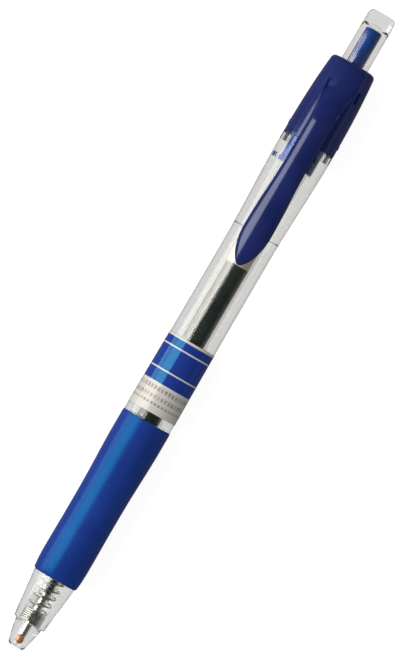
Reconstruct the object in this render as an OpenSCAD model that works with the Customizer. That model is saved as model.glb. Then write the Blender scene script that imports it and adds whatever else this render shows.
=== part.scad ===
// Retractable gel pen, 145 mm long, along X with its clip upwards.
// Every piece is built along Z (Z = 0 is the front of the nose, clip towards +X)
// and lay() then turns the pen along X, writing end towards -X, with the origin on
// its axis in the middle of the straight band at the rear of the grip.

/* [Lengths] */
// Visible length of the clear nose cone
nose_len = 15.5; // [13.5:0.1:19]
// Distance from the front of the nose to its outside step
nose_step_z = 5.35; // [4.6:0.05:6.5]
// Length of the rubber grip
grip_len = 36.15; // [30:0.05:44]
// Barrel between the grip and the cap
barrel_len = 63.35; // [52:0.05:77]
// Length of the rear cap
cap_len = 18.2; // [16.8:0.1:22]
// Button standing out of the cap when it is released
button_out = 11.6; // [9.6:0.1:14]
// Clip from its root to its tip
clip_len = 32.05; // [26:0.05:39]
// Full press of the button
travel = 5.5; // [4.5:0.1:6]

/* [Refill] */
// Outside radius of the refill tube
tube_r = 2.95; // [2.45:0.05:3.55]
// Wall of the refill tube
tube_wall = 0.42; // [0.3:0.01:0.5]
// Writing point behind the front of the nose at rest
tip_recess = 1.55; // [1.2:0.05:1.9]
// Radius of the rolling ball
ball_r = 0.35; // [0.25:0.05:0.4]
// Radius of the metal point behind its cone
tip_r = 0.85; // [0.75:0.05:1]
// Radius of the thin front of the connector
connector_nose_r = 1.15; // [1.1:0.05:1.4]
// Air between the grease follower and the tail plug
air_len = 15.2; // [12:0.1:18]
// Length of the grease follower
follower_len = 5; // [4:0.5:7]

/* [Spring] */
// Length of the return spring as fitted
spring_len = 18.55; // [15.4:0.05:22.3]
// Mean radius of the coils
spring_mean_r = 2.2; // [2.1:0.05:2.6]
// Wire diameter
wire_d = 0.4; // [0.3:0.05:0.45]
// Touching coils at the front
closed_turns_front = 6; // [3:1:6]
// Open coils
open_turns = 9; // [7:1:11]
// Touching coils at the rear
closed_turns_rear = 2; // [1:1:3]

/* [Walls] */
// Barrel wall at its waist
barrel_wall = 1; // [0.8:0.05:1.2]
// Extra radius of the barrel just behind the grip
barrel_back_rise = 0.2; // [0.1:0.05:0.4]
// Barrel wall over the nose thread
socket_wall = 0.5; // [0.4:0.05:0.7]
// Rubber over the front, the middle and the rear of the grip
grip_front_wall = 0.82; // [0.68:0.01:0.98]
grip_waist_wall = 0.77; // [0.64:0.01:0.92]
grip_rear_wall = 1.1; // [0.9:0.01:1.32]
// Wall of the nose around the point and around the spring
nose_wall = 0.4; // [0.3:0.05:0.5]
// Outside step of the nose
nose_step = 0.5; // [0.3:0.05:0.6]
// Root wall of the threaded spigot
spigot_wall = 0.3; // [0.25:0.05:0.4]
// Depth of the thread
thread_depth = 0.18; // [0.15:0.01:0.22]
// Wall of the cap's skirt over the barrel neck
cap_skirt_wall = 0.55; // [0.45:0.05:0.7]
// Roof of the cap
cap_roof = 1.15; // [1:0.05:1.4]
// Thickness of the printed film
film = 0.06; // [0.04:0.01:0.1]

/* [Mechanism] */
// Outside radius of the clear button
button_r = 2.95; // [2.6:0.05:3.5]
// Wall of the clear button
button_wall = 0.6; // [0.4:0.05:0.7]
// Radius of the blue post inside the button
post_r = 1.8; // [1.5:0.05:2]
// Cam sleeve showing in front of the cap
sleeve_reach = 5.25; // [4.6:0.05:6.2]
// Wall of the cam sleeve
sleeve_wall = 0.6; // [0.5:0.05:0.7]
// Height of a rail above the sleeve's bore
rail_depth = 0.6; // [0.5:0.05:0.7]
// Width of a rail, and of a rotor fin
rail_w = 0.5; // [0.4:0.05:0.55]
// Stroke at which the rotor fins clear the rails and latch
latch_stroke = 3.7; // [3.4:0.05:4]
// Length of the rotor
rotor_len = 4.9; // [4.5:0.1:5.5]

/* [Clip] */
// Thickness of the clip arm
clip_thick = 1.6; // [1.3:0.05:1.9]
// Half width at the broadest place
clip_half_w = 3; // [2.5:0.05:3.6]
// Half width at the root
clip_root_half_w = 2.45; // [2.1:0.05:2.9]
// Height of the arm's underside over the cap
clip_lift = 0.7; // [0.5:0.05:1]
// Radius of the crowned outer face
clip_crown_r = 4.5; // [4.2:0.1:6]

/* [Hidden] */
$fn = 72;

// Clearances
seam = 0.05;        // between faces that meet
film_gap = 0.02;    // between thin layers that lie on each other
snug = 0.02;        // round pieces pushed together
slide_gap = 0.1;    // pieces that slide in each other
eps = 0.01;         // overshoot of a cut

// Colours
clear_tint = [0.93, 0.94, 0.93, 0.45];
blue_rubber = [0.10, 0.22, 0.55];
cap_blue = [0.12, 0.16, 0.42];
sleeve_blue = [0.16, 0.30, 0.58];
ink_dark = [0.12, 0.17, 0.17];
metal = [0.72, 0.71, 0.69];

// Stations along the pen
spring_seat_z = nose_step_z + 0.1;
barrel_z0 = nose_len + seam;
grip_z0 = barrel_z0 + seam;
grip_z1 = grip_z0 + grip_len;
shoulder_z = grip_z1 + seam;
barrel_z1 = shoulder_z + barrel_len;
cap_z0 = barrel_z1 + seam;
cap_z1 = cap_z0 + cap_len;
pen_len = cap_z1 + button_out;
ceiling_z = cap_z1 - cap_roof;
spigot_len = 7;
spigot_z1 = nose_len + spigot_len;
neck_len = 3.85;
neck_z1 = barrel_z1 + neck_len;

// Radii at the front, outwards from the refill
spigot_bore_r = tube_r + 0.25;
spigot_root_r = spigot_bore_r + spigot_wall;
spigot_crest_r = spigot_root_r + thread_depth;
socket_r = spigot_root_r + seam;
grip_seat_r = spigot_crest_r + seam + socket_wall;
grip_bore_r = grip_seat_r + snug;
front_bore_r = tube_r + 0.65;
nose_hole_r = connector_nose_r + slide_gap;
nose_front_r = nose_hole_r + nose_wall;
spring_bore_r = spring_mean_r + wire_d / 2 + slide_gap;
nose_mid_r = spring_bore_r + nose_wall;
nose_rear_r = grip_seat_r + 0.32;

// Radii at the rear: the cap's bore takes the sleeve around the refill and the button's collar
collar_gap = 0.3;
collar_r = button_r + 0.45;
cap_hole_r = button_r + slide_gap;
cap_bore_r = max(collar_r + collar_gap, tube_r + slide_gap + sleeve_wall + seam);
sleeve_r = cap_bore_r - seam;
sleeve_bore_r = sleeve_r - sleeve_wall;
rail_r = sleeve_bore_r - rail_depth;
fin_r = sleeve_bore_r - slide_gap;
hub_r = rail_r - 0.15;
barrel_bore_r = sleeve_r + 0.35;
waist_r = barrel_bore_r + barrel_wall;
back_r = waist_r + barrel_back_rise;
neck_r = waist_r;
flare_r = neck_r + seam + cap_skirt_wall;
cap_r = flare_r;
cap_top_r = cap_r - 0.73;

// Stations of the mechanism
sleeve_z0 = barrel_z1 - sleeve_reach;
flange_z0 = neck_z1 + seam;
flange_h = 1;
sleeve_z1 = flange_z0 + flange_h;
rotor_z0 = sleeve_z0 + 2.5;
rotor_z1 = rotor_z0 + rotor_len;
fin_top_z = rotor_z1 - 0.8;
rail_z0 = fin_top_z - latch_stroke;
tooth_h = 0.6;
cam_bevel = 0.25;
crown_z = rotor_z1 + 0.15;
crown_hub_len = 3.55;
spindle_r = 1;
spindle_len = 2.9;
collar_h = 1.3;
collar_z1 = ceiling_z - seam;
post_z1 = pen_len - 3.5;
button_roof = 2.7;
fin_count = 4;
tooth_count = 8;

// Stations of the refill
refill_z1 = rotor_z0 - seam;
spring_z1 = spring_seat_z + spring_len;
connector_flange_h = 2.6;
tube_z0 = spring_z1 + connector_flange_h;
tube_bore_r = tube_r - tube_wall;
plug_len = 4.4;
plug_z1 = tube_z0 + plug_len;
tip_len = 6.35;
connector_z0 = tip_recess + tip_len;
connector_step_z = spring_seat_z + travel + 0.15;
connector_r = spring_mean_r - wire_d / 2 - 0.3;
shank_r = tip_r - 0.15;
shank_len = 4.3;
shank_z1 = connector_z0 + shank_len;
tip_channel_r = 0.28;
channel_r = 0.9;
valve_r = 0.6;
valve_z = spring_z1 - 3;
tail_h = 0.8;
tail_plug_len = 4;
tail_z0 = refill_z1 - tail_h;
follower_z1 = tail_z0 - tail_plug_len - air_len;
ink_z1 = follower_z1 - follower_len;

// Clip
clip_root_z = cap_z0 + 4.3;
clip_z0 = clip_root_z - clip_len;
clip_under = cap_r + clip_lift;
clip_top = clip_under + clip_thick;
clip_axis_x = (clip_under + clip_top) / 2;
clip_pivot_r = clip_thick / 2;
jaw_gap = 0.15;

// Label
label_gap = 1.9;
label_len = 15.9;

// Straight band at the rear of the grip, as shares of its length
band_share0 = 0.87;
band_share1 = 0.99;
band_z = grip_z0 + grip_len * (band_share0 + band_share1) / 2;

// Smooth step from 0 to 1
function ease(t) = let (u = min(1, max(0, t))) u * u * (3 - 2 * u);
function reversed(list) = [for (i = [len(list) - 1 : -1 : 0]) list[i]];
function span(a, b, n) = [for (i = [0 : n]) a + (b - a) * i / n];

// Outside radius of the barrel: it narrows behind the grip and flares to the cap
back_taper_len = 24;
flare_len = 25;
function barrel_outer_r(z) =
    let (back = 1 - min(1, max(0, (z - shoulder_z) / back_taper_len)))
    waist_r + barrel_back_rise * pow(back, 1.5)
    + (flare_r - waist_r) * ease((z - (barrel_z1 - flare_len)) / flare_len);

// Outside radius of the cap: a shoulder that closes faster towards the roof
cap_curve_z0 = cap_z0 + 0.8;
cap_edge_h = 0.9;
function cap_outer_r(z) =
    cap_r - (cap_r - cap_top_r)
    * pow(min(1, max(0, (z - cap_curve_z0) / (cap_z1 - cap_edge_h - cap_curve_z0))), 2.2);

// Half width of the clip at a distance from its tip
clip_swell = 7.75;
clip_neck = 23.5;
function clip_half_width(u) =
    u < clip_swell
    ? clip_half_w * pow(max(0, 1 - pow(1 - u / clip_swell, 2)), 0.62)
    : clip_half_w - (clip_half_w - clip_root_half_w) * ease((u - clip_swell) / (clip_neck - clip_swell));

// Rings of a thread seen in section, as [r, z] points
thread_pitch = 1.5;
thread_turns = 3;
thread_lead = 1;
function thread_points(root, crest, z0) =
    [for (i = [0 : thread_turns - 1], p = [[0, 0], [0.25, 1], [0.5, 1], [0.75, 0]])
        [root + (crest - root) * p[1], z0 + thread_lead + (i + p[0]) * thread_pitch]];

// Turns a piece built along Z to lie along X with the clip upwards
module lay() {
    translate([-band_z, 0, 0]) rotate([0, 90, 0]) rotate([0, 0, 180]) children();
}

// Turned piece between an outer and an inner outline of [r, z] points, front to rear
module turned(outer, inner = []) {
    rotate_extrude() polygon(concat(outer, reversed(inner)));
}

// Flat outline of [y, z] points made thick along X, from x0 to x1
module along_x(points, x0, x1) {
    translate([x0, 0, 0]) rotate([90, 0, 90]) linear_extrude(x1 - x0) polygon(points);
}

// Flat outline of [x, z] points made thick along Y, both ways from the middle
module along_y(points, width) {
    rotate([90, 0, 0]) linear_extrude(width, center = true) polygon(points);
}

// V notches that leave a ring of teeth; the tips stay at z and the roots lie h behind
module tooth_notches(z, h, facing) {
    half = hub_r * tan(180 / tooth_count);
    for (i = [0 : tooth_count / 2 - 1])
        rotate([0, 0, i * 360 / tooth_count])
            translate([-hub_r - 1, 0, 0])
                along_x([[-half, z - facing * eps], [half, z - facing * eps], [0, z + facing * h]],
                        0, 2 * hub_r + 2);
}

module nose_cone() {
    ogive = [for (z = span(0.15, nose_step_z - 0.2, 8))
        [nose_front_r + (nose_mid_r - nose_front_r) * pow(z / nose_step_z, 0.8), z]];
    outer = concat([[nose_front_r - 0.15, 0]], ogive,
        [[nose_mid_r, nose_step_z], [nose_mid_r + nose_step, nose_step_z],
         [nose_rear_r, nose_len], [spigot_root_r, nose_len]],
        thread_points(spigot_root_r, spigot_crest_r, nose_len),
        [[spigot_root_r, spigot_z1]]);
    inner = [[nose_hole_r, 0], [nose_hole_r, spring_seat_z], [spring_bore_r, spring_seat_z],
             [spring_bore_r, spring_seat_z + 2.5], [spigot_bore_r, nose_len - 2.5],
             [spigot_bore_r, spigot_z1]];
    color(clear_tint) lay() turned(outer, inner);
}

// Lug at the front of the cam sleeve, which clicks into a pocket in the barrel's wall
key_w = 1.6;
key_r = neck_r - 0.25;
key_h = 0.9;

// Keys of the cap that lie in notches on the two sides of the barrel
tab_w = 2.2;
tab_h = 1.6;
tab_wall = 0.5;

module barrel() {
    witness_z = barrel_z1 - 20.35;
    body = [for (z = concat(span(shoulder_z + 0.15, shoulder_z + back_taper_len, 12),
                            [witness_z - 0.1]))
        [barrel_outer_r(z), z]];
    flare = [for (z = span(witness_z + 0.1, barrel_z1, 10)) [barrel_outer_r(z), z]];
    outer = concat(
        [[grip_seat_r, barrel_z0], [grip_seat_r, shoulder_z], [back_r - 0.1, shoulder_z]],
        body, [[barrel_outer_r(witness_z) + 0.04, witness_z]], flare,
        [[neck_r, barrel_z1], [neck_r, neck_z1]]);
    inner = concat([[socket_r, barrel_z0]],
        thread_points(socket_r, spigot_crest_r + seam, nose_len),
        [[socket_r, spigot_z1 + seam], [front_bore_r, spigot_z1 + seam],
         [front_bore_r, shoulder_z], [barrel_bore_r, shoulder_z + 2],
         [barrel_bore_r, neck_z1]]);
    color(clear_tint) lay() difference() {
        turned(outer, inner);
        // notches for the cap's keys
        for (side = [-1, 1])
            difference() {
                translate([-tab_w / 2 - seam, side > 0 ? 0 : -cap_r - 1, barrel_z1 - tab_h - seam])
                    cube([tab_w + 2 * seam, cap_r + 1, tab_h + 2 * seam]);
                translate([0, 0, barrel_z1 - tab_h - 1])
                    cylinder(r = cap_r - tab_wall - seam, h = tab_h + 2);
            }
        // pocket for the sleeve's lug
        translate([-key_w / 2 - seam, -key_r - seam, sleeve_z0 - seam])
            cube([key_w + 2 * seam, key_r - barrel_bore_r + 1, key_h + 2 * seam]);
    }
}

module grip_sleeve() {
    // [share of the length, wall]: full front, slim waist, full rear
    outline = [[0, grip_front_wall - 0.45], [0.009, grip_front_wall - 0.27],
               [0.05, grip_front_wall - 0.1], [0.11, grip_front_wall],
               [0.17, grip_front_wall], [0.34, grip_waist_wall], [0.45, grip_waist_wall],
               [0.555, grip_waist_wall + 0.035], [0.665, grip_waist_wall + 0.14],
               [0.775, grip_rear_wall - 0.06], [band_share0, grip_rear_wall],
               [band_share1, grip_rear_wall], [1, grip_rear_wall - 0.2]];
    outer = [for (p = outline) [grip_seat_r + p[1], grip_z0 + p[0] * grip_len]];
    inner = [[grip_bore_r, grip_z0], [grip_bore_r, grip_z1]];
    color(blue_rubber) lay() turned(outer, inner);
}

module label_film() {
    z0 = shoulder_z + label_gap;
    stations = span(z0, z0 + label_len, 12);
    outer = [for (z = stations) [barrel_outer_r(z) + film_gap + film, z]];
    inner = [for (z = stations) [barrel_outer_r(z) + film_gap, z]];
    color([0.25, 0.38, 0.70]) lay() turned(outer, inner);
}

// Outline of the clip seen from the side, from its tip to its root
module clip_side() {
    lead = 3;
    jaw = 4.2;
    heel = 6.5;
    top = [for (u = span(0, heel, 4)) [clip_top - 0.5 * pow(1 - u / heel, 2), clip_z0 + u]];
    along_y(concat([[clip_under + 0.5, clip_z0], [waist_r + jaw_gap, clip_z0 + lead],
                    [waist_r + jaw_gap, clip_z0 + jaw], [clip_under, clip_z0 + heel],
                    [clip_under, clip_root_z], [clip_top, clip_root_z]],
                   reversed(top)), 2 * clip_half_w + 1);
}

// Everything under the crowned outer face of the clip and of its root
module clip_crown() {
    translate([clip_top - clip_crown_r, 0, clip_z0 - 1])
        cylinder(r = clip_crown_r, h = cap_z1 - clip_z0);
}

module pocket_clip() {
    tip = concat(span(0, 1, 4), span(2, clip_swell, 5));
    stations = concat(tip, span(clip_swell + 2, clip_neck, 6), [clip_len]);
    right = [for (u = stations) [clip_half_width(u), clip_z0 + u]];
    left = [for (u = reversed(stations)) [-clip_half_width(u), clip_z0 + u]];
    color(cap_blue) lay() union() {
        intersection() {
            clip_side();
            along_x(concat(right, left), waist_r, clip_top + 1);
            clip_crown();
        }
        intersection() {
            translate([clip_axis_x, 0, clip_root_z]) rotate([90, 0, 0])
                cylinder(r = clip_pivot_r, h = 2 * clip_root_half_w, center = true);
            clip_crown();
        }
    }
}

// Raised root on the cap that carries the clip and runs out into the cap's shoulder
module clip_root() {
    root_len = 6.6;
    far_half_w = clip_root_half_w + 0.6;
    top = [for (t = span(0, 1, 6))
        [clip_top - (clip_top - cap_top_r) * ease(t * 0.92 + 0.08 * t * t), clip_root_z + t * root_len]];
    difference() {
        intersection() {
            along_y(concat(top, [[cap_bore_r + 0.3, clip_root_z + root_len],
                                 [cap_bore_r + 0.3, clip_root_z]]), 2 * far_half_w + 1);
            along_x([[-clip_root_half_w, clip_root_z], [clip_root_half_w, clip_root_z],
                     [far_half_w, clip_root_z + root_len], [-far_half_w, clip_root_z + root_len]],
                    cap_bore_r, clip_top + 1);
            clip_crown();
        }
        translate([clip_axis_x, 0, clip_root_z]) rotate([90, 0, 0])
            cylinder(r = clip_pivot_r + seam, h = 4 * clip_half_w, center = true);
        cylinder(r = neck_r + seam, h = sleeve_z1 + seam);
    }
}

module rear_cap() {
    side = [for (z = span(cap_curve_z0, cap_z1 - cap_edge_h, 10)) [cap_outer_r(z), z]];
    edge = [for (a = [22.5 : 22.5 : 90])
        [cap_top_r - cap_edge_h * (1 - cos(a)), cap_z1 - cap_edge_h * (1 - sin(a))]];
    outer = concat([[cap_r - 0.08, cap_z0], [cap_r, cap_z0 + 0.15]], side, edge);
    inner = [[neck_r + seam, cap_z0], [neck_r + seam, sleeve_z1 + seam],
             [cap_bore_r, sleeve_z1 + seam], [cap_bore_r, ceiling_z],
             [cap_hole_r, ceiling_z], [cap_hole_r, cap_z1]];
    nub_z = cap_z0 + 1.8;
    slot_z = cap_z0 + 11.5;
    slot_len = 1.9;
    slot_r = 0.38;
    color(cap_blue) lay() union() {
        difference() {
            turned(outer, inner);
            // shallow slot beside the clip's root
            rotate([0, 0, 47]) translate([cap_outer_r(slot_z) - 0.4, 0, slot_z])
                rotate([0, 90, 0]) {
                    cylinder(r = slot_r, h = 1);
                    translate([-slot_len, 0, 0]) cylinder(r = slot_r, h = 1);
                    translate([-slot_len, -slot_r, 0]) cube([slot_len, 2 * slot_r, 1]);
                }
        }
        clip_root();
        // keys that reach down over the barrel
        for (side = [-1, 1])
            intersection() {
                turned([[cap_r, barrel_z1 - tab_h], [cap_r, cap_z0 + 0.3]],
                       [[cap_r - tab_wall, barrel_z1 - tab_h], [cap_r - tab_wall, cap_z0 + 0.3]]);
                translate([-tab_w / 2, side > 0 ? 0 : -cap_r - 1, barrel_z1 - tab_h - 1])
                    cube([tab_w, cap_r + 1, tab_h + 3]);
            }
        // small snap marks on the two sides
        for (side = [-1, 1])
            translate([-0.7, side > 0 ? cap_r - 0.3 : -cap_r - 0.1, nub_z]) cube([1.4, 0.4, 0.9]);
    }
}

// Windows between the rails: [angle from the clip, distance from the sleeve's front]
windows = [[47, 2.05], [-68, 3.4]];
window_w = 1.5;
window_h = 1.5;

module cam_sleeve() {
    color(sleeve_blue) lay() difference() {
        union() {
            turned([[sleeve_r, sleeve_z0], [sleeve_r, flange_z0],
                    [neck_r - 0.4, flange_z0], [neck_r - 0.4, sleeve_z1]],
                   [[sleeve_bore_r, sleeve_z0], [sleeve_bore_r, sleeve_z1]]);
            for (i = [0 : fin_count - 1])
                rotate([0, 0, i * 360 / fin_count])
                    along_x([[-rail_w / 2, rail_z0 - cam_bevel], [rail_w / 2, rail_z0],
                             [rail_w / 2, sleeve_z1], [-rail_w / 2, sleeve_z1]],
                            rail_r, sleeve_bore_r + 0.2);
            translate([-key_w / 2, -key_r, sleeve_z0])
                cube([key_w, key_r - sleeve_bore_r - 0.2, key_h]);
        }
        for (w = windows)
            rotate([0, 0, w[0]]) translate([sleeve_bore_r - 1, -window_w / 2, sleeve_z0 + w[1]])
                cube([3, window_w, window_h]);
    }
}

module rotor_cam() {
    color([0.28, 0.12, 0.12]) lay() union() {
        difference() {
            translate([0, 0, rotor_z0]) cylinder(r = hub_r, h = rotor_len);
            translate([0, 0, rotor_z1 - spindle_len - 0.3])
                cylinder(r = spindle_r + 0.06, h = spindle_len + 1);
            tooth_notches(rotor_z1, tooth_h, -1);
        }
        for (i = [0 : fin_count - 1])
            rotate([0, 0, (i + 0.5) * 360 / fin_count])
                along_x([[-rail_w / 2, rotor_z0], [rail_w / 2, rotor_z0],
                         [rail_w / 2, fin_top_z], [-rail_w / 2, fin_top_z - cam_bevel]],
                        hub_r - 0.4, fin_r);
    }
}

module plunger() {
    guide_w = 1.6;
    hub_z1 = crown_z + crown_hub_len;
    color(sleeve_blue) lay() union() {
        difference() {
            translate([0, 0, crown_z]) cylinder(r = hub_r, h = crown_hub_len);
            tooth_notches(crown_z, tooth_h, 1);
        }
        translate([0, 0, crown_z - spindle_len]) cylinder(r = spindle_r, h = spindle_len + 1);
        for (i = [0 : fin_count - 1])
            rotate([0, 0, (i + 0.5) * 360 / fin_count])
                translate([hub_r - 0.4, -guide_w / 2, crown_z + 1.05])
                    cube([fin_r - hub_r + 0.4 - 0.1, guide_w, 2]);
        turned([[0, hub_z1 - 1], [post_r, hub_z1 - 1], [post_r, collar_z1 - collar_h],
                [collar_r, collar_z1 - collar_h], [collar_r, collar_z1], [post_r, collar_z1],
                [post_r, post_z1 - 0.35], [post_r - 0.12, post_z1 - 0.1],
                [post_r - 0.4, post_z1], [0, post_z1]]);
    }
}

module button_shell() {
    edge_len = 0.9;
    edge_depth = 0.5;
    rim = [for (a = [0 : 15 : 90])
        [button_r - edge_depth * (1 - cos(a)), pen_len - edge_len * (1 - sin(a))]];
    color(clear_tint) lay()
        turned(concat([[button_r, collar_z1]], rim, [[0, pen_len]]),
               [[button_r - button_wall, collar_z1], [button_r - button_wall, pen_len - button_roof - 0.3],
                [button_r - button_wall - 0.3, pen_len - button_roof], [0, pen_len - button_roof]]);
}

// Height of the spring's centre line after a number of turns: touching coils at both ends
closed_pitch = wire_d + 0.015;
open_pitch = (spring_len - wire_d - (closed_turns_front + closed_turns_rear) * closed_pitch) / open_turns;
spring_turns = closed_turns_front + open_turns + closed_turns_rear;
function spring_z(turn) =
    spring_seat_z + wire_d / 2
    + closed_pitch * (min(turn, closed_turns_front) + max(0, turn - closed_turns_front - open_turns))
    + open_pitch * min(open_turns, max(0, turn - closed_turns_front));

module return_spring() {
    sides = 6;
    steps = 16;
    rings = spring_turns * steps;
    points = [for (i = [0 : rings], k = [0 : sides - 1])
        let (turn = i / steps, a = 360 * turn, b = 360 * k / sides,
             r = spring_mean_r + wire_d / 2 * cos(b))
        [r * cos(a), r * sin(a), spring_z(turn) + wire_d / 2 * sin(b)]];
    skin = [for (i = [0 : rings - 1], k = [0 : sides - 1])
        let (n = (k + 1) % sides)
        [i * sides + k, i * sides + n, (i + 1) * sides + n, (i + 1) * sides + k]];
    ends = [[for (k = [sides - 1 : -1 : 0]) k], [for (k = [0 : sides - 1]) rings * sides + k]];
    color(metal) lay() polyhedron(points, concat(skin, ends));
}

module refill_tube() {
    color([0.85, 0.86, 0.85, 0.5]) lay()
        turned([[tube_r, tube_z0], [tube_r, tail_z0]], [[tube_bore_r, tube_z0], [tube_bore_r, tail_z0]]);
}

module refill_connector() {
    flange_r = spring_mean_r + wire_d / 2;
    valve_room = valve_r + 0.15;
    outer = [[connector_nose_r - 0.1, connector_z0], [connector_nose_r, connector_z0 + 0.1],
             [connector_nose_r, connector_step_z], [connector_r, connector_step_z + 0.6],
             [connector_r, spring_z1], [flange_r, spring_z1], [flange_r, tube_z0 - 0.4],
             [tube_r, tube_z0 - 0.4], [tube_r, tube_z0], [tube_bore_r - snug, tube_z0],
             [tube_bore_r - snug, plug_z1]];
    inner = [[shank_r + snug, connector_z0], [shank_r + snug, shank_z1], [channel_r, shank_z1],
             [channel_r, valve_z - valve_room], [valve_room + 0.25, valve_z - valve_room + 0.25],
             [valve_room + 0.25, spring_z1], [1.5, plug_z1]];
    color([0.92, 0.92, 0.88, 0.6]) lay() turned(outer, inner);
}

module valve_ball() {
    color(metal) lay() translate([0, 0, valve_z]) sphere(r = valve_r);
}

module writing_tip() {
    ball_z = tip_recess + ball_r;
    mouth_r = ball_r - 0.02;
    outer = [[mouth_r + 0.06, ball_z - 0.05], [tip_r - 0.07, tip_recess + 1.15],
             [tip_r, tip_recess + 1.35], [tip_r, connector_z0 - seam], [shank_r, connector_z0 - seam],
             [shank_r, shank_z1]];
    inner = [[tip_channel_r + 0.02, ball_z - 0.05], [tip_channel_r + 0.02, shank_z1]];
    color(metal) lay() difference() {
        turned(outer, inner);
        translate([0, 0, ball_z]) sphere(r = ball_r + 0.01);
    }
}

module tip_ball() {
    color(metal) lay() translate([0, 0, tip_recess + ball_r]) sphere(r = ball_r);
}

// Bead of sealing wax over the point of a new pen
module tip_seal_bead() {
    bead_r = 0.8;
    bead_z0 = tip_recess - 0.55;
    bead_len = 1.55;
    color([0.80, 0.52, 0.22]) lay() difference() {
        translate([0, 0, bead_z0 + bead_r]) union() {
            difference() {
                sphere(r = bead_r);
                cylinder(r = 2 * bead_r, h = 2 * bead_r);
            }
            cylinder(r = bead_r, h = bead_len - bead_r);
        }
        turned([[0, tip_recess - film_gap], [ball_r, tip_recess - film_gap],
                [ball_r + 0.06, tip_recess + ball_r - 0.1], [tip_r - 0.04, tip_recess + 1.15],
                [tip_r, tip_recess + 1.6], [0, tip_recess + 1.6]]);
    }
}

module ink_column() {
    ball_z = tip_recess + ball_r;
    valve_room = valve_r + 0.15;
    outer = [[0, ball_z + ball_r + 0.1], [tip_channel_r, ball_z + ball_r + 0.1],
             [tip_channel_r, shank_z1 + seam], [channel_r - snug, shank_z1 + seam],
             [channel_r - snug, valve_z - valve_room], [valve_room + 0.2, valve_z - valve_room + 0.25],
             [valve_room + 0.2, spring_z1 - snug], [1.5 - 0.1, plug_z1 + snug],
             [tube_bore_r - snug, plug_z1 + snug], [tube_bore_r - snug, ink_z1], [0, ink_z1]];
    color(ink_dark) lay() difference() {
        turned(outer);
        translate([0, 0, valve_z]) sphere(r = valve_r + snug);
    }
}

module ink_follower() {
    color([0.85, 0.80, 0.62, 0.7]) lay()
        translate([0, 0, ink_z1 + film_gap])
            cylinder(r = tube_bore_r - snug, h = follower_len - film_gap);
}

module tail_plug() {
    vent_r = 0.5;
    color([0.90, 0.90, 0.86]) lay()
        turned([[tube_bore_r - snug - 0.2, tail_z0 - tail_plug_len],
                [tube_bore_r - snug, tail_z0 - tail_plug_len + 0.5], [tube_bore_r - snug, tail_z0],
                [tube_r, tail_z0], [tube_r, refill_z1 - 0.15], [tube_r - 0.15, refill_z1]],
               [[vent_r, tail_z0 - tail_plug_len], [vent_r, refill_z1]]);
}

nose_cone();
barrel();
grip_sleeve();
label_film();
rear_cap();
pocket_clip();
cam_sleeve();
rotor_cam();
plunger();
button_shell();
return_spring();
refill_tube();
refill_connector();
valve_ball();
writing_tip();
tip_ball();
tip_seal_bead();
ink_column();
ink_follower();
tail_plug();
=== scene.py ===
import math

import bmesh
import bpy
import numpy as np
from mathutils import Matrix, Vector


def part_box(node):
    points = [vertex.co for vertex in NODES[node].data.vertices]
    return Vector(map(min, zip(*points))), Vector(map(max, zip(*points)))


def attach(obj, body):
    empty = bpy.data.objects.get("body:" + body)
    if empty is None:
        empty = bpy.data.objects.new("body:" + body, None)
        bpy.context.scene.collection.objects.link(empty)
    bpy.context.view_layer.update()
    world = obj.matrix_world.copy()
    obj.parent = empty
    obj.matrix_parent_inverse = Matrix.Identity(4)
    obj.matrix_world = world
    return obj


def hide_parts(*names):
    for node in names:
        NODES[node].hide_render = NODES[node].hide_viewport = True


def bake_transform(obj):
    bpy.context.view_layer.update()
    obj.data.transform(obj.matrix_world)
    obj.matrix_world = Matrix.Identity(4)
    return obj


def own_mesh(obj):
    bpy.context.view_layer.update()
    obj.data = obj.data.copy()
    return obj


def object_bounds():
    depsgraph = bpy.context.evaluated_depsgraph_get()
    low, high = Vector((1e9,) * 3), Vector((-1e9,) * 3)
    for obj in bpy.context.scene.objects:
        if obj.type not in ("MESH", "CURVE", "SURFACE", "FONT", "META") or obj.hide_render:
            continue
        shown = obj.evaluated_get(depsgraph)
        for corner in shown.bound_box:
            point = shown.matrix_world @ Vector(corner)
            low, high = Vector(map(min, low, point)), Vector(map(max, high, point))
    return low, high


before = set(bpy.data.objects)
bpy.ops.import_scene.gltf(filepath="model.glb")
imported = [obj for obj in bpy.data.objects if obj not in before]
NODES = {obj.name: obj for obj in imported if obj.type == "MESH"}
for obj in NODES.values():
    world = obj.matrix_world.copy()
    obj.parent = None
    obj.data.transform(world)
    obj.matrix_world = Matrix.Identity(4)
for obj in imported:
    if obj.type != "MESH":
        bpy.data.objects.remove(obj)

cad_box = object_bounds()

# Lengths below are millimetres. A station is a distance along the pen from the front of the
# nose, and a radius is measured from the pen's axis, which is the X axis of the frame.
# Angles go round the axis from the clip (+Z) towards +Y.
MM = 0.001
FRONT = cad_box[0].x


def station(node, end):
    """Station of a node's front (end 0) or rear (end 1) face."""
    return (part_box(node)[end].x - FRONT) / MM


def radius(node):
    """Greatest radius of a turned node."""
    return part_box(node)[1].y / MM


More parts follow.
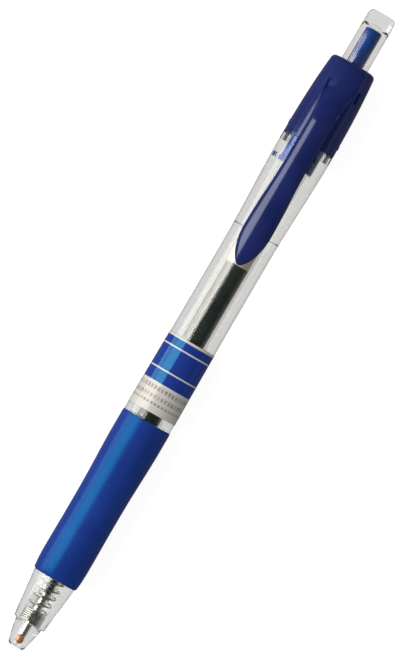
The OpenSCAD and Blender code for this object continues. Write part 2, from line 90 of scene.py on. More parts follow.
# ---------------------------------------------------------------- places taken from the frame
nose_end = station("grip_sleeve", 0) - 0.1
grip_start, grip_end = station("grip_sleeve", 0), station("grip_sleeve", 1)
shoulder = grip_end + 0.05
neck_end = station("barrel", 1)
barrel_end = neck_end - 3.85
cap_start = barrel_end + 0.05
cap_end = station("rear_cap", 1)
pen_end = station("button_shell", 1)
label_start, label_end = station("label_film", 0), station("label_film", 1)
clip_start = station("pocket_clip", 0)
clip_root = station("pocket_clip", 1) - 0.8
key_start = station("rear_cap", 0)
sleeve_start = station("cam_sleeve", 0)
spring_start, spring_end = station("return_spring", 0), station("return_spring", 1)
tube_start, tube_end = station("refill_tube", 0), station("refill_tube", 1)
tip_start, shank_end = station("writing_tip", 0), station("writing_tip", 1)
adapter_start, adapter_end = station("refill_connector", 0), station("refill_connector", 1)
bead_start, bead_end = station("tip_seal_bead", 0), station("tip_seal_bead", 1)
ink_end = station("ink_column", 1)

cap_r = radius("barrel")
grip_r = radius("grip_sleeve")
button_r = radius("button_shell")
tube_r = radius("refill_tube")
tube_bore = tube_r - 0.42
clip_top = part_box("pocket_clip")[1].z / MM
waist_r = 5.0
bore_r = 4.0
seat_r = 4.23


# ---------------------------------------------------------------- outlines
def ease(t):
    """Smooth step from 0 to 1."""
    t = np.clip(t, 0, 1)
    return t * t * (3 - 2 * t)


def rounded(corners, steps=5):
    """Outline through corners (station, radius) or (station, radius, cut): a corner with a cut is
    replaced by a parabolic arc that starts and ends that far before and after it."""
    points = [np.array(c[:2], float) for c in corners]
    out = []
    for i, corner in enumerate(corners):
        here = points[i]
        if len(corner) < 3:
            out.append(here)
            continue
        before, after = points[i - 1] - here, points[(i + 1) % len(points)] - here
        start = here + before / np.linalg.norm(before) * corner[2]
        stop = here + after / np.linalg.norm(after) * corner[2]
        for u in np.linspace(0, 1, steps):
            out.append((1 - u) ** 2 * start + 2 * u * (1 - u) * here + u ** 2 * stop)
    return np.array(out)


def flowing(marks, at):
    """Smooth curve through marks (station, radius), at the given stations: cubic pieces whose slope
    at a mark is the harmonic mean of its neighbours', or zero where the curve turns, so that it
    never overshoots."""
    x, y = np.array(marks, float).T
    chord = np.diff(y) / np.diff(x)
    slope = np.concatenate([chord[:1], np.zeros(len(x) - 2), chord[-1:]])
    same = chord[:-1] * chord[1:] > 0
    slope[1:-1][same] = 2 / (1 / chord[:-1][same] + 1 / chord[1:][same])
    k = np.clip(np.searchsorted(x, at) - 1, 0, len(x) - 2)
    h = x[k + 1] - x[k]
    t = (at - x[k]) / h
    value = ((1 + 2 * t) * (1 - t) ** 2 * y[k] + t * (1 - t) ** 2 * h * slope[k]
             + t ** 2 * (3 - 2 * t) * y[k + 1] - t ** 2 * (1 - t) * h * slope[k + 1])
    return np.column_stack([at, value])


# ---------------------------------------------------------------- meshes
def piece(name, grid, material, body, ring=False, sharp=32):
    """Closed mesh over a grid of points (rows, columns, xyz) in millimetres. Columns always close
    on themselves; rows do too where ring is set, and otherwise the end rows are poles."""
    rows, cols = grid.shape[:2]
    index = np.arange(rows * cols).reshape(rows, cols)
    across = np.roll(index, -1, 1)
    if ring:
        a, b, c, d = index, across, np.roll(across, -1, 0), np.roll(index, -1, 0)
    else:
        a, b, c, d = index[:-1], across[:-1], across[1:], index[1:]
    quads = np.stack([a, b, c, d], -1).reshape(-1, 4)
    points = grid.reshape(-1, 3) * MM
    points[:, 0] += FRONT
    mesh = bpy.data.meshes.new(name)
    mesh.from_pydata(points.tolist(), [], quads.tolist())
    return finished(name, mesh, material, body, sharp)


def finished(name, mesh, material, body, sharp=32):
    """Merges the mesh's seam and poles, turns its faces outwards, shades it smooth except at
    edges sharper than an angle, and puts it on a body."""
    work = bmesh.new()
    work.from_mesh(mesh)
    bmesh.ops.remove_doubles(work, verts=work.verts, dist=2e-7)
    bmesh.ops.recalc_face_normals(work, faces=work.faces)
    work.to_mesh(mesh)
    work.free()
    mesh.shade_smooth()
    mesh.set_sharp_from_angle(angle=math.radians(sharp))
    mesh.materials.clear()
    mesh.materials.append(material)
    thing = bpy.data.objects.new(name, mesh)
    bpy.context.scene.collection.objects.link(thing)
    if body:
        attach(thing, body)
    return thing


def turned(name, outline, material, body, sides=144, angles=None, dent=None, ring=True,
           sharp=32):
    """Outline of (station, radius) points turned about the axis. The point at an angle t is
    (station, radius sin t, radius cos t). dent(stations, angles, radii) may change the radii."""
    if angles is None:
        angles = np.arange(sides) * 2 * math.pi / sides
    s, t = np.meshgrid(outline[:, 0], angles, indexing="ij")
    r = np.repeat(outline[:, 1:2], len(angles), 1)
    if dent:
        r = dent(s, t, r)
    grid = np.stack([s, r * np.sin(t), r * np.cos(t)], -1)
    return piece(name, grid, material, body, ring=ring, sharp=sharp)


def smooth_copy(name, node, material, body, sharp=32):
    """Copy of a CAD node with its triangles merged and shaded smooth, in the node's place."""
    thing = finished(name, NODES[node].data.copy(), material, body, sharp)
    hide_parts(node)
    return thing


# ---------------------------------------------------------------- materials
def wire(tree, kind, inputs=None, **settings):
    """New node with its settings, and each input set to a value or linked to a socket."""
    made = tree.nodes.new(kind)
    for key, value in settings.items():
        setattr(made, key, value)
    for key, value in (inputs or {}).items():
        if isinstance(value, bpy.types.NodeSocket):
            tree.links.new(value, made.inputs[key])
        else:
            made.inputs[key].default_value = value
    return made


def math_node(tree, operation, a, b=0.0):
    return wire(tree, "ShaderNodeMath", {0: a, 1: b}, operation=operation).outputs[0]


def noise(tree, scale, detail=2.0, stretch=(1, 1, 1)):
    """Noise in the object's own millimetres, drawn out where stretch is under 1."""
    place = wire(tree, "ShaderNodeTexCoord").outputs["Object"]
    place = wire(tree, "ShaderNodeMapping", {"Vector": place, "Scale": stretch}).outputs[0]
    return wire(tree, "ShaderNodeTexNoise",
                {"Vector": place, "Scale": scale / MM, "Detail": detail}).outputs[0]


def between(tree, value, low, high):
    """Value from 0.3 to 0.7 taken to the range from low to high."""
    return wire(tree, "ShaderNodeMapRange",
                {"Value": value, "From Min": 0.3, "From Max": 0.7, "To Min": low,
                 "To Max": high}).outputs[0]


def tone(tree, value, dark, light):
    """Mix of two colours by a value from 0.3 to 0.7."""
    made = wire(tree, "ShaderNodeMix", {"Factor": between(tree, value, 0, 1)}, data_type="RGBA")
    made.inputs[6].default_value = (*dark, 1)
    made.inputs[7].default_value = (*light, 1)
    return made.outputs[2]


def new_material(name):
    made = bpy.data.materials.new(name)
    made.use_nodes = True
    tree = made.node_tree
    tree.nodes.clear()
    shader = wire(tree, "ShaderNodeBsdfPrincipled")
    out = wire(tree, "ShaderNodeOutputMaterial", {"Surface": shader.outputs[0]})
    return made, tree, shader, out


def surface(name, dark, light, rough, patch=0.15, grain=3.0, bump=0.05, stretch=(1, 1, 1),
            depth=0.01, **sockets):
    """Opaque finish: two tones in soft patches, roughness that varies between two values with a
    finer grain, and that grain as a shallow bump."""
    made, tree, shader, out = new_material(name)
    fine = noise(tree, grain, 3.0, stretch)
    tree.links.new(tone(tree, noise(tree, patch), dark, light), shader.inputs["Base Color"])
    tree.links.new(between(tree, fine, *rough), shader.inputs["Roughness"])
    relief = wire(tree, "ShaderNodeBump", {"Height": fine, "Strength": bump, "Distance": depth * MM})
    tree.links.new(relief.outputs[0], shader.inputs["Normal"])
    for key, value in sockets.items():
        shader.inputs[key.replace("_", " ")].default_value = value
    return made


def clear(name, dark, light, rough, ior=1.46, bump=0.02, line=None):
    """Clear plastic: it refracts, its polish varies a little, flow marks of the moulding run along
    it as a very shallow bump, and light passes through it to what is inside. A line is the station
    of a parting line, a little darker than the rest."""
    made, tree, shader, out = new_material(name)
    flow = noise(tree, 0.35, 2.0, (0.15, 1, 1))
    colour = tone(tree, flow, dark, light)
    if line:
        place = wire(tree, "ShaderNodeTexCoord").outputs["Object"]
        along = wire(tree, "ShaderNodeSeparateXYZ", {0: place}).outputs[0]
        apart = math_node(tree, "ABSOLUTE", math_node(tree, "SUBTRACT", along, FRONT + line * MM))
        mark = math_node(tree, "LESS_THAN", apart, 0.09 * MM)
        mix = wire(tree, "ShaderNodeMix", {"Factor": mark, 6: colour}, data_type="RGBA")
        mix.inputs[7].default_value = (0.8, 0.8, 0.79, 1)
        colour = mix.outputs[2]
    tree.links.new(colour, shader.inputs["Base Color"])
    tree.links.new(between(tree, noise(tree, 1.5), *rough), shader.inputs["Roughness"])
    relief = wire(tree, "ShaderNodeBump", {"Height": flow, "Strength": bump, "Distance": 0.01 * MM})
    tree.links.new(relief.outputs[0], shader.inputs["Normal"])
    shader.inputs["Transmission Weight"].default_value = 1.0
    shader.inputs["IOR"].default_value = ior
    see_through = wire(tree, "ShaderNodeBsdfTransparent", {"Color": (*light, 1)})
    shadow = wire(tree, "ShaderNodeLightPath").outputs["Is Shadow Ray"]
    mix = wire(tree, "ShaderNodeMixShader",
               {0: shadow, 1: shader.outputs[0], 2: see_through.outputs[0]})
    tree.links.new(mix.outputs[0], out.inputs["Surface"])
    return made


witness = barrel_end - 20.35
clear_plastic = clear(
    "clear_plastic", (0.945, 0.95, 0.94), (0.97, 0.975, 0.965), (0.04, 0.08), line=witness)
button_plastic = clear("button_plastic", (0.965, 0.96, 0.94), (0.985, 0.98, 0.965), (0.04, 0.08))
tube_plastic = clear("tube_plastic", (0.91, 0.86, 0.80), (0.95, 0.90, 0.84), (0.08, 0.12), ior=1.36)
natural_plastic = clear("natural_plastic", (0.80, 0.80, 0.76), (0.88, 0.88, 0.84), (0.2, 0.32))
blue_rubber = surface(
    "blue_rubber", (0.011, 0.030, 0.21), (0.014, 0.038, 0.24), (0.24, 0.3), grain=6.0, bump=0.08,
    Specular_IOR_Level=0.36, Specular_Tint=(0.0, 0.62, 1.0, 1))
cap_plastic = surface(
    "cap_plastic", (0.008, 0.015, 0.088), (0.012, 0.021, 0.12), (0.12, 0.18), grain=1.2, bump=0.02,
    Specular_IOR_Level=0.45, Specular_Tint=(0.8, 0.88, 1.0, 1))
sleeve_plastic = surface(
    "sleeve_plastic", (0.010, 0.048, 0.24), (0.014, 0.06, 0.29), (0.3, 0.4), bump=0.04,
    Specular_IOR_Level=0.03)
post_plastic = surface(
    "post_plastic", (0.005, 0.036, 0.19), (0.008, 0.046, 0.235), (0.2, 0.27), bump=0.04,
    Specular_IOR_Level=0.25)
rotor_plastic = surface(
    "rotor_plastic", (0.045, 0.014, 0.014), (0.07, 0.022, 0.02), (0.3, 0.4))
spring_steel = surface(
    "spring_steel", (0.42, 0.41, 0.39), (0.58, 0.57, 0.54), (0.2, 0.34), grain=5.0, bump=0.08,
    Metallic=1.0)
tip_metal = surface(
    "tip_metal", (0.56, 0.55, 0.52), (0.68, 0.67, 0.64), (0.16, 0.3), grain=4.0, bump=0.1,
    stretch=(3, 0.2, 0.2), Metallic=1.0)
ball_carbide = surface(
    "ball_carbide", (0.3, 0.3, 0.31), (0.4, 0.4, 0.41), (0.05, 0.12), Metallic=1.0)
sealing_wax = surface(
    "sealing_wax", (0.27, 0.085, 0.012), (0.40, 0.15, 0.028), (0.25, 0.4), patch=0.8, bump=0.1,
    Subsurface_Weight=0.15, Subsurface_Scale=0.4 * MM)
gel_ink = surface(
    "gel_ink", (0.008, 0.019, 0.020), (0.014, 0.030, 0.031), (0.10, 0.18), patch=0.08,
    Specular_IOR_Level=0.03)
grease = surface(
    "grease", (0.52, 0.51, 0.47), (0.60, 0.59, 0.55), (0.15, 0.3), patch=0.6,
    Subsurface_Weight=0.4, Subsurface_Scale=1.0 * MM)


def printed_film():
    """Glossy film printed in rings: silver with three rows of plain grey ticks at the front, then
    a blue field between silver edges with two silver pinstripes."""
    made, tree, shader, out = new_material("printed_film")
    place = wire(tree, "ShaderNodeTexCoord").outputs["Object"]
    axes = wire(tree, "ShaderNodeSeparateXYZ", {0: place}).outputs
    along = wire(tree, "ShaderNodeMapRange",
                 {"Value": axes[0], "From Min": FRONT + label_start * MM,
                  "From Max": FRONT + label_end * MM}).outputs[0]
    silver = (0.52, 0.505, 0.475, 1)
    blue = (0.014, 0.034, 0.24, 1)
    ramp = wire(tree, "ShaderNodeValToRGB", {0: along})
    ramp.color_ramp.interpolation = "CONSTANT"
    field = [(0, silver), (0.37, blue), (0.525, silver), (0.545, blue), (0.845, silver),
             (0.865, blue), (0.965, silver)]
    for share, colour in field[2:]:
        ramp.color_ramp.elements.new(share).color = colour
    for element, (share, colour) in zip(ramp.color_ramp.elements, field):
        element.position = share
        element.color = colour
    around = math_node(tree, "ARCTAN2", axes[1], axes[2])
    tick_count = 40
    turn = math_node(tree, "MULTIPLY", around, tick_count / (2 * math.pi))
    share = math_node(tree, "FRACT", math_node(tree, "ADD", turn, 100.0))
    tick = math_node(tree, "LESS_THAN", share, 0.68)
    rows = None
    for share, half in [(0.11, 0.016), (0.195, 0.026), (0.3, 0.028)]:
        apart = math_node(tree, "ABSOLUTE", math_node(tree, "SUBTRACT", along, share))
        row = math_node(tree, "LESS_THAN", apart, half)
        rows = row if rows is None else math_node(tree, "MAXIMUM", rows, row)
    worn = between(tree, noise(tree, 0.9, 1.0), 0.35, 0.85)
    ticks = math_node(tree, "MULTIPLY", math_node(tree, "MULTIPLY", rows, tick), worn)
    ink = wire(tree, "ShaderNodeMix", {"Factor": ticks}, data_type="RGBA")
    tree.links.new(ramp.outputs[0], ink.inputs[6])
    ink.inputs[7].default_value = (0.16, 0.15, 0.14, 1)
    tree.links.new(ink.outputs[2], shader.inputs["Base Color"])
    fine = noise(tree, 2.0)
    tree.links.new(between(tree, fine, 0.08, 0.16), shader.inputs["Roughness"])
    red = wire(tree, "ShaderNodeSeparateColor", {0: ramp.outputs[0]}).outputs[0]
    sheen = wire(tree, "ShaderNodeMix", {"Factor": math_node(tree, "LESS_THAN", red, 0.1)},
                 data_type="RGBA")
    sheen.inputs[6].default_value = (0.8, 0.77, 0.72, 1)
    sheen.inputs[7].default_value = (0.12, 0.8, 1.0, 1)
    tree.links.new(sheen.outputs[2], shader.inputs["Specular Tint"])
    relief = wire(tree, "ShaderNodeBump", {"Height": fine, "Strength": 0.04, "Distance": 0.01 * MM})
    tree.links.new(relief.outputs[0], shader.inputs["Normal"])
    return made


# ---------------------------------------------------------------- nose, barrel, grip and label
def clear_nose():
    """Ogive from the mouth to the step, straight cone from the step to the grip, thread behind."""
    step, mid_r, front_r = 5.35, 2.9, 1.65
    mouth_r, seat, bore = 1.25, spring_start, 2.5
    root_r, crest_r, spigot_bore, spigot_end = 3.5, 3.68, 3.2, station("nose_cone", 1)
    s = np.linspace(0.35, step - 0.1, 14)
    ogive = np.column_stack([s, front_r + (mid_r - front_r) * (s / step) ** 0.8])
    thread = [(nose_end + 1 + 1.5 * (i + u), root_r + (crest_r - root_r) * v)
              for i in range(3) for u, v in [(0, 0), (0.25, 1), (0.5, 1), (0.75, 0)]]
    rear = rounded([(step, mid_r + 0.02), (step, mid_r + 0.5, 0.12), (nose_end, seat_r + 0.32, 0.1),
                    (nose_end, root_r), *thread, (spigot_end, root_r, 0.05),
                    (spigot_end, spigot_bore, 0.05), (nose_end - 2.5, spigot_bore, 0.4),
                    (seat + 2.5, bore, 0.4), (seat, bore, 0.1), (seat, mouth_r, 0.1),
                    (0, mouth_r, 0.08), (0, front_r - 0.1, 0.12)])
    outline = np.concatenate([ogive, rear])
    made = turned("clear_nose", outline, clear_plastic, "body")
    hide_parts("nose_cone")


BACK_TAPER, FLARE = 24.0, 25.0


def barrel_outer(s):
    """Radius of the barrel: it narrows behind the grip and flares to the cap."""
    back = 1 - np.clip((s - shoulder) / BACK_TAPER, 0, 1)
    return waist_r + 0.2 * back ** 1.5 + (cap_r - waist_r) * ease((s - (barrel_end - FLARE)) / FLARE)


def clear_barrel():
    """Tube with the flaring outside, a parting line round it, notches for the cap's two keys and
    a pocket inside for the lug of the cam sleeve."""
    notch = barrel_end - 1.6
    s = np.concatenate([np.linspace(shoulder + 0.12, witness - 0.1, 34), [witness - 0.05, witness + 0.05],
                        np.linspace(witness + 0.1, notch - 0.11, 24),
                        [notch - 0.05, notch, notch + 0.7, barrel_end - 0.06]])
    r = barrel_outer(s)
    r[34:36] += 0.06
    thread = [(nose_end + 1 + 1.5 * (i + u), 3.55 + 0.18 * v)
              for i in (2, 1, 0) for u, v in [(0.75, 0), (0.5, 1), (0.25, 1), (0, 0)]]
    pocket_end = sleeve_start + 0.95
    pocket = [neck_end - 0.1, pocket_end + 0.01, pocket_end, sleeve_start - 0.05]
    front = rounded([(station("barrel", 0), seat_r, 0.08), (shoulder, seat_r, 0.05),
                     (shoulder, waist_r + 0.14)])
    rear = rounded([(barrel_end, r[-1] - 0.05), (barrel_end, waist_r), (neck_end, waist_r, 0.12),
                    (neck_end, bore_r, 0.05), *[(g, bore_r) for g in pocket],
                    (sleeve_start - 0.1, bore_r), (shoulder + 2, bore_r, 0.4), (shoulder, 3.6, 0.4),
                    (22.55, 3.6), (22.55, 3.55), *thread, (station("barrel", 0), 3.55, 0.05)])
    outline = np.concatenate([front, np.column_stack([s, r]), rear])
    outside = np.arange(len(outline)) < len(front) + len(s) + 1
    half_notch, half_pocket = 1.15 / cap_r, 0.85 / bore_r
    edges = [math.pi / 2 + k * (h + e) for h in (half_notch, half_pocket) for e in (0, 0.004)
             for k in (-1, 1)]
    angles = np.unique(np.round(np.concatenate([
        np.arange(144) * math.pi / 72, edges, np.array(edges) + math.pi]), 5))

    def dent(s, t, r):
        off_key = np.abs(np.abs((t % (2 * math.pi)) - math.pi) - math.pi / 2)
        in_notch = (off_key < half_notch + 0.001) & (s > notch - 0.051) & outside[:, None]
        off_pocket = np.abs(t - math.pi / 2)
        in_pocket = ((off_pocket < half_pocket + 0.001) & (s > sleeve_start - 0.06)
                     & (s < pocket_end + 0.005) & ~outside[:, None])
        r = np.where(in_notch & (r > 5.0), 5.05, r)
        return np.where(in_pocket & (np.abs(r - bore_r) < 0.01), 4.8, r)

    made = turned("clear_barrel", outline, clear_plastic, "body", angles=angles,
                  dent=dent)
    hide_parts("barrel")


def rubber_grip():
    """Full front, slim waist and full rear, with a rounded lip at both ends and a row of faint
    pips along its top."""
    length = grip_end - grip_start
    front_wall, waist_wall, rear_wall = 0.82, 0.77, grip_r - seat_r
    marks = [(0.005, front_wall - 0.24), (0.04, front_wall - 0.1), (0.11, front_wall),
             (0.2, front_wall - 0.005), (0.34, waist_wall), (0.45, waist_wall),
             (0.555, waist_wall + 0.035), (0.665, waist_wall + 0.14), (0.775, rear_wall - 0.06),
             (0.87, rear_wall), (0.985, rear_wall)]
    pips = grip_start + 5.85 + 3.9 * np.arange(5)
    pip_turn, pip_r, pip_h = math.radians(-3.5), 0.3, 0.05
    near = (pips[:, None] + np.linspace(-0.4, 0.4, 9)).ravel()
    at = np.unique(np.concatenate([grip_start + length * np.linspace(0.005, 0.985, 90), near]))
    outer = flowing([(grip_start + u * length, seat_r + w) for u, w in marks], at)
    ends = rounded([(grip_end, grip_r - 0.02, 0.16), (grip_end, seat_r + 0.02, 0.05),
                    (grip_start, seat_r + 0.02, 0.05), (grip_start, seat_r + front_wall - 0.3, 0.08)])
    outline = np.concatenate([outer, ends])
    angles = np.unique(np.concatenate([
        np.arange(144) * math.pi / 72, pip_turn + 2 * math.pi + np.linspace(-0.09, 0.09, 11)]))

    def dent(s, t, r):
        across = ((t - pip_turn + math.pi) % (2 * math.pi) - math.pi) * r
        apart = np.min(np.hypot(s[..., None] - pips, across[..., None]), -1)
        return np.where(r > seat_r + 0.4, r + pip_h * ease((pip_r + 0.1 - apart) / 0.25), r)

    made = turned("rubber_grip", outline, blue_rubber, "body", angles=angles,
                  dent=dent)
    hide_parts("grip_sleeve")


def printed_label():
    """Thin film that follows the outside of the barrel."""
    s = np.linspace(label_start, label_end, 30)
    outer = np.column_stack([s, barrel_outer(s) + 0.08])
    inner = np.column_stack([s[::-1], barrel_outer(s[::-1]) + 0.02])
    made = turned("printed_label", np.concatenate([outer, inner]), printed_film(), "body")
    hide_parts("label_film")


# ---------------------------------------------------------------- cap and clip
def cap_outer(s):
    """Radius of the cap: a shoulder that closes faster towards the roof."""
    start = cap_start + 0.8
    return cap_r - 0.73 * np.clip((s - start) / (cap_end - 0.9 - start), 0, 1) ** 2.2


def blue_cap():
    """Turned shell with a rounded rear edge and a shallow slot beside the clip."""
    slot_at, slot_long, slot_half, slot_angle = cap_start + 11.5, 1.9, 0.38, math.radians(-47)
    s = np.unique(np.concatenate([np.linspace(cap_start + 0.3, cap_end - 0.9, 40),
                                  np.arange(slot_at - 0.5, slot_at + slot_long + 0.55, 0.08)]))
    top_r, hole_r, cap_bore, ceiling = cap_r - 0.73, 3.05, 3.7, cap_end - 1.15
    sleeve_end = station("cam_sleeve", 1) + 0.05
    corner = np.linspace(math.radians(10), math.pi / 2, 9)
    edge = np.column_stack([cap_end - 0.9 * (1 - np.sin(corner)), top_r - 0.9 * (1 - np.cos(corner))])
    inside = rounded([(cap_end, hole_r, 0.15), (ceiling, hole_r, 0.05), (ceiling, cap_bore, 0.1),
                      (sleeve_end, cap_bore, 0.05), (sleeve_end, waist_r + 0.05, 0.05),
                      (cap_start, waist_r + 0.05, 0.05), (cap_start, cap_r, 0.14)])
    outline = np.concatenate([np.column_stack([s, cap_outer(s)]), edge, inside])
    outside = np.arange(len(outline)) < len(s)
    angles = np.unique(np.concatenate([np.arange(144) * math.pi / 72,
                                       np.arange(-7.5, 7.6, 0.5) * math.pi / 180
                                       + slot_angle + 2 * math.pi]))

    def dent(s, t, r):
        beside = (t - slot_angle - 2 * math.pi) * cap_outer(slot_at)
        past = np.maximum(0, np.abs(s - slot_at - slot_long / 2) - slot_long / 2)
        depth = 0.4 * ease((slot_half + 0.05 - np.hypot(beside, past)) / 0.1)
        return np.where(outside[:, None], r - depth, r)

    made = turned("blue_cap", outline, cap_plastic, "body", angles=angles, dent=dent)
    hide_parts("rear_cap")


def side_marks():
    """Two keys that reach from the cap over the barrel and two small snap marks, each a patch of a
    turned shell with rounded corners."""
    for count, middle in enumerate((math.pi / 2, -math.pi / 2)):
        for name, s0, s1, half, r0, r1 in [
                ("cap_key", key_start, cap_start + 0.02, 1.1, cap_r - 0.5, cap_r - 0.01),
                ("snap_mark", cap_start + 1.8, cap_start + 2.7, 0.7, cap_r - 0.2, cap_r + 0.09)]:
            around = np.linspace(0, 2 * math.pi, 40, endpoint=False)
            square = 0.3
            u = np.sign(np.cos(around)) * np.abs(np.cos(around)) ** square
            v = np.sign(np.sin(around)) * np.abs(np.sin(around)) ** square
            layers = [(0, r0), (1, r0), (1, r1 - 0.06), (0.96, r1 - 0.015), (0.9, r1), (0, r1)]
            rows = []
            for share, r in layers:
                s = (s0 + s1) / 2 + share * u * (s1 - s0) / 2
                t = middle + share * v * half / cap_r
                rows.append(np.stack([s, r * np.sin(t), r * np.cos(t)], -1))
            piece(f"{name}_{count}", np.array(rows), cap_plastic, "body")


def clip_arm():
    """Section carried along the pen from the clip's tip to where its root sinks into the cap: a
    rounded bar with a crowned top, whose half width follows an ogive and then narrows."""
    crown_r, lift, thick = 4.5, 0.7, 1.6
    swell, neck, half_w, root_half_w = 7.75, 23.5, 3.0, 2.45
    under = cap_r + lift
    root_len = 9.0
    s = clip_start + np.unique(np.concatenate([
        8 * np.linspace(0, 1, 36) ** 2, np.linspace(8, clip_root - clip_start + root_len, 72)]))
    u, past = s - clip_start, s - clip_root
    half = half_w * np.clip(1 - (1 - np.clip(u / swell, 0, 1)) ** 2, 0, 1) ** 0.62
    half = np.where(u > swell, half_w - (half_w - root_half_w) * ease((u - swell) / (neck - swell)), half)
    half = half + 0.6 * np.clip(past / root_len, 0, 1)
    drop = 0.5 * (1 - np.clip(u / 6.5, 0, 1)) ** 2
    share = np.clip(past / root_len, 0, 1)
    inner_r = (cap_outer(s) - 0.6)[:, None]
    sink = (clip_top - (cap_outer(s) - 0.04)) * ease(share)
    top = clip_top - drop - sink
    jaw_low = waist_r + 0.15
    free = np.interp(u, [0, 3, 4.2, 6.5], [under + 0.5, jaw_low, jaw_low, under])[:, None]
    rooted = ease((past + 1.4) / 1.4)[:, None]
    wide_end = 1 - 0.6 * ease(share)

    def low(y):
        """Underside: level along the free arm, following the cap's wall where it is rooted."""
        return free + (np.sqrt(inner_r ** 2 - y ** 2) - free) * rooted

    e = np.clip(half * 0.3, 0.02, 0.2)[:, None]
    wide = (np.clip(half * 0.3, 0.02, 0.6) * wide_end)[:, None]
    tall = np.minimum(1.27 * wide, (top - free[:, 0])[:, None] * 0.45)
    turn = np.linspace(0, math.pi / 2, 6)
    down = np.array([0, 0.07, 0.3, 0.6, 0.9, 1])
    flat = np.linspace(1, -1, 25)

    def crown(y):
        """Height of the crowned top above its own middle."""
        return np.sqrt(crown_r ** 2 - y ** 2) - crown_r

    shelf = half[:, None] - wide
    y_top = shelf * flat
    h_top = np.maximum(top[:, None] + crown(y_top), low(y_top) + 0.05)
    y_left, h_left = -shelf - wide * down, h_top[:, -1:] - tall * down
    reach = half[:, None] - e
    h_left = np.maximum(h_left, low(reach) + e)
    y_low = -reach * flat[::4]
    h_low = low(y_low)
    y_corner, h_corner = -reach - e * np.cos(turn), low(reach) + e - e * np.sin(turn)
    y = np.concatenate([y_top, y_left, y_corner, y_low, -y_corner[:, ::-1], -y_left[:, ::-1]], 1)
    h = np.concatenate([h_top, h_left, h_corner, h_low, h_corner[:, ::-1], h_left[:, ::-1]], 1)
    grid = np.stack([np.repeat(s[:, None], y.shape[1], 1), y, h], -1)
    grid = np.concatenate([grid[:1].mean(1, keepdims=True).repeat(y.shape[1], 1), grid,
                           grid[-1:].mean(1, keepdims=True).repeat(y.shape[1], 1)])
    made = piece("clip_arm", grid, cap_plastic, None, sharp=40)
    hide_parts("pocket_clip")
    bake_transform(made)


# ---------------------------------------------------------------- button and its works
def push_button():
    """Clear cap of the button: solid end with a rounded rim over a bore for the post."""
    start, wall, roof = station("button_shell", 0), 0.6, 2.7
    outline = rounded([(start, button_r, 0.05), (pen_end - 0.9, button_r, 0.25),
                       (pen_end - 0.25, button_r - 0.28, 0.2), (pen_end, button_r - 0.6, 0.2),
                       (pen_end, 0)], 6)
    bore = rounded([(pen_end - roof, 0), (pen_end - roof, button_r - wall, 1.3),
                    (start, button_r - wall, 0.05)], 6)
    grid = np.concatenate([bore, outline])
    made = turned("push_button", grid, button_plastic, "button", ring=False)
    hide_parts("button_shell")


def return_coil():
    """Round wire wound on a helix: touching turns at the front, open turns, touching turns at the
    rear, with its wire closed at both ends."""
    mean_r, wire_r, front_turns, open_turns, rear_turns = 2.2, 0.2, 6, 9, 2
    closed = 2 * wire_r + 0.015
    length = spring_end - spring_start
    pitch = (length - 2 * wire_r - (front_turns + rear_turns) * closed) / open_turns
    turns = front_turns + open_turns + rear_turns
    steps = 36
    n = np.linspace(0, turns, turns * steps + 1)
    height = spring_start + wire_r + closed * (
        np.minimum(n, front_turns) + np.maximum(0, n - front_turns - open_turns)
    ) + pitch * np.clip(n - front_turns, 0, open_turns)
    round_wire = np.arange(12) * math.pi / 6
    thick = np.full(len(n), wire_r)
    n, height = np.concatenate([n[:1], n, n[-1:]]), np.concatenate([height[:1], height, height[-1:]])
    thick = np.concatenate([[0], thick, [0]])[:, None]
    r = mean_r + thick * np.cos(round_wire)
    turn = n[:, None] * 2 * math.pi
    s = height[:, None] + thick * np.sin(round_wire)
    grid = np.stack([s, -r * np.sin(turn), r * np.cos(turn)], -1)
    made = piece("return_coil", grid, spring_steel, "body", sharp=60)
    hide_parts("return_spring")
    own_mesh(made)


# ---------------------------------------------------------------- refill
def clear_tube():
    outline = rounded([(tube_start, tube_r, 0.05), (tube_end, tube_r, 0.05),
                       (tube_end, tube_bore, 0.05), (tube_start, tube_bore, 0.05)])
    made = turned("clear_tube", outline, tube_plastic, "refill")
    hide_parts("refill_tube")


def tube_adapter():
    """Turned sleeve that holds the metal point, carries the spring on its flange and plugs into
    the tube; its bore widens for the valve ball."""
    step = spring_start + 5.5 + 0.15
    flange = spring_end
    ball = (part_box("valve_ball")[0].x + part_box("valve_ball")[1].x) / 2 - FRONT
    seat = ball / MM - 0.75
    outline = rounded([
        (adapter_start, 1.15, 0.1), (step, 1.15, 0.2), (step + 0.6, 1.7, 0.2), (flange, 1.7, 0.1),
        (flange, 2.4, 0.1), (tube_start - 0.4, 2.4, 0.05), (tube_start - 0.4, tube_r, 0.06),
        (tube_start, tube_r, 0.05), (tube_start, tube_bore - 0.02), (adapter_end, tube_bore - 0.02, 0.1),
        (adapter_end, 1.5, 0.1), (flange, 1.0, 0.1), (seat + 0.25, 1.0), (seat, 0.9, 0.05),
        (shank_end, 0.9), (shank_end, 0.72), (adapter_start, 0.72, 0.03)])
    made = turned("tube_adapter", outline, natural_plastic, "refill")
    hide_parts("refill_connector")


def metal_point():
    """Turned point: rolled-in lip, cone, body with a soft edge, and the shank in the adapter."""
    outline = rounded([
        (tip_start, 0.3), (tip_start, 0.39, 0.02), (1.55 + 1.15, 0.78, 0.06), (1.55 + 1.35, 0.85, 0.06),
        (adapter_start - 0.05, 0.85, 0.06), (adapter_start - 0.05, 0.7, 0.03), (shank_end, 0.7, 0.05),
        (shank_end, 0.3)])
    made = turned("metal_point", outline, tip_metal, "refill", sides=72)
    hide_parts("writing_tip")


